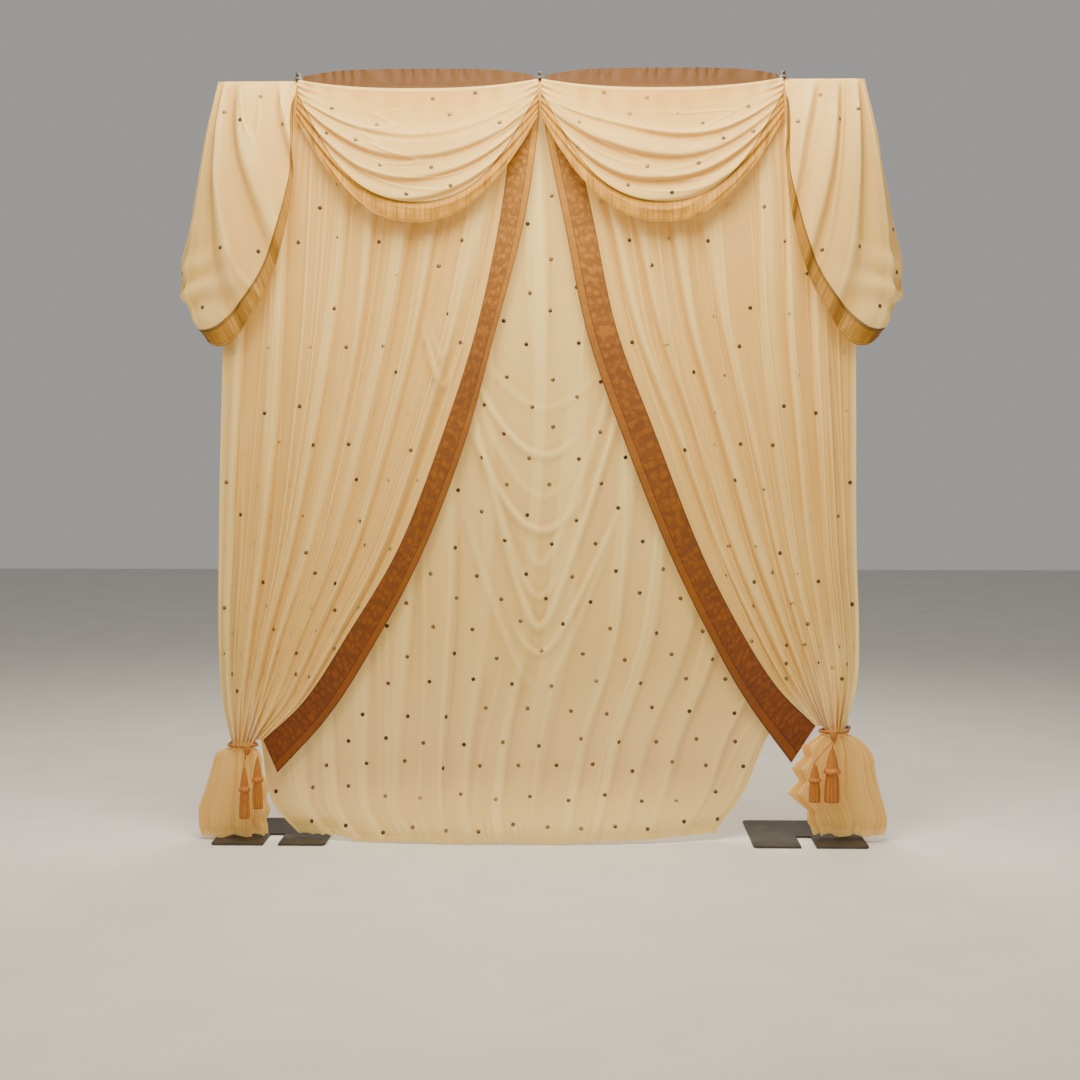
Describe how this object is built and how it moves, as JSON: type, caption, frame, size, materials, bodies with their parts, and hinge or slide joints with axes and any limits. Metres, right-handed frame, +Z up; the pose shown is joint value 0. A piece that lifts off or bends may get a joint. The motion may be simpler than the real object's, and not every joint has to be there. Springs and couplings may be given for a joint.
{
  "type": "draped event backdrop arch",
  "caption": "Free-standing event arch: a crossbar on two uprights with slotted base plates, dressed with a sheer back drape, tied-back curtains, scalloped swags and gold borders.",
  "frame": {"origin": "centre of the footprint at floor level", "axes": "+X to the right seen from the front, +Y to the back, +Z up"},
  "size_m": [2.8598, 0.45, 3.05],
  "materials": {
    "steel": "satin grey steel",
    "tube": "satin",
    "sheer_cloth": "sheer ivory cloth",
    "gold_border": "gold brocade ribbon",
    "gold_cord": "twisted gold cord",
    "dark_clip": "dark"
  },
  "bodies": {
    "root": {"base_plate_left": "steel", "base_spigot_left": "steel", "upright_lower_left": "tube", "upright_collar_left": "steel", "upright_upper_left": "tube", "upright_head_left": "steel", "crossbar_outer_left": "tube", "crossbar_hook_left": "steel", "base_plate_right": "steel", "base_spigot_right": "steel", "upright_lower_right": "tube", "upright_collar_right": "steel", "upright_upper_right": "tube", "upright_head_right": "steel", "crossbar_outer_right": "tube", "crossbar_hook_right": "steel", "crossbar_inner": "tube", "back_drape": "sheer_cloth", "front_curtain_left": "sheer_cloth", "curtain_tail_left": "sheer_cloth", "swag_left": "sheer_cloth", "side_swag_left": "sheer_cloth", "header_strip_left": "sheer_cloth", "curtain_border_left": "gold_border", "swag_border_left": "gold_border", "side_swag_border_left": "gold_border", "tie_rope_left": "gold_cord", "tie_knot_left": "gold_cord", "tassel_cord_left_1": "gold_cord", "tassel_left_1": "gold_cord", "tassel_cord_left_2": "gold_cord", "tassel_left_2": "gold_cord", "front_curtain_right": "sheer_cloth", "curtain_tail_right": "sheer_cloth", "swag_right": "sheer_cloth", "side_swag_right": "sheer_cloth", "header_strip_right": "sheer_cloth", "curtain_border_right": "gold_border", "swag_border_right": "gold_border", "side_swag_border_right": "gold_border", "tie_rope_right": "gold_cord", "tie_knot_right": "gold_cord", "tassel_cord_right_1": "gold_cord", "tassel_right_1": "gold_cord", "tassel_cord_right_2": "gold_cord", "tassel_right_2": "gold_cord", "swag_pin_left": "dark_clip", "swag_pin_centre": "dark_clip", "swag_pin_right": "dark_clip"}
  },
  "joints": []
}
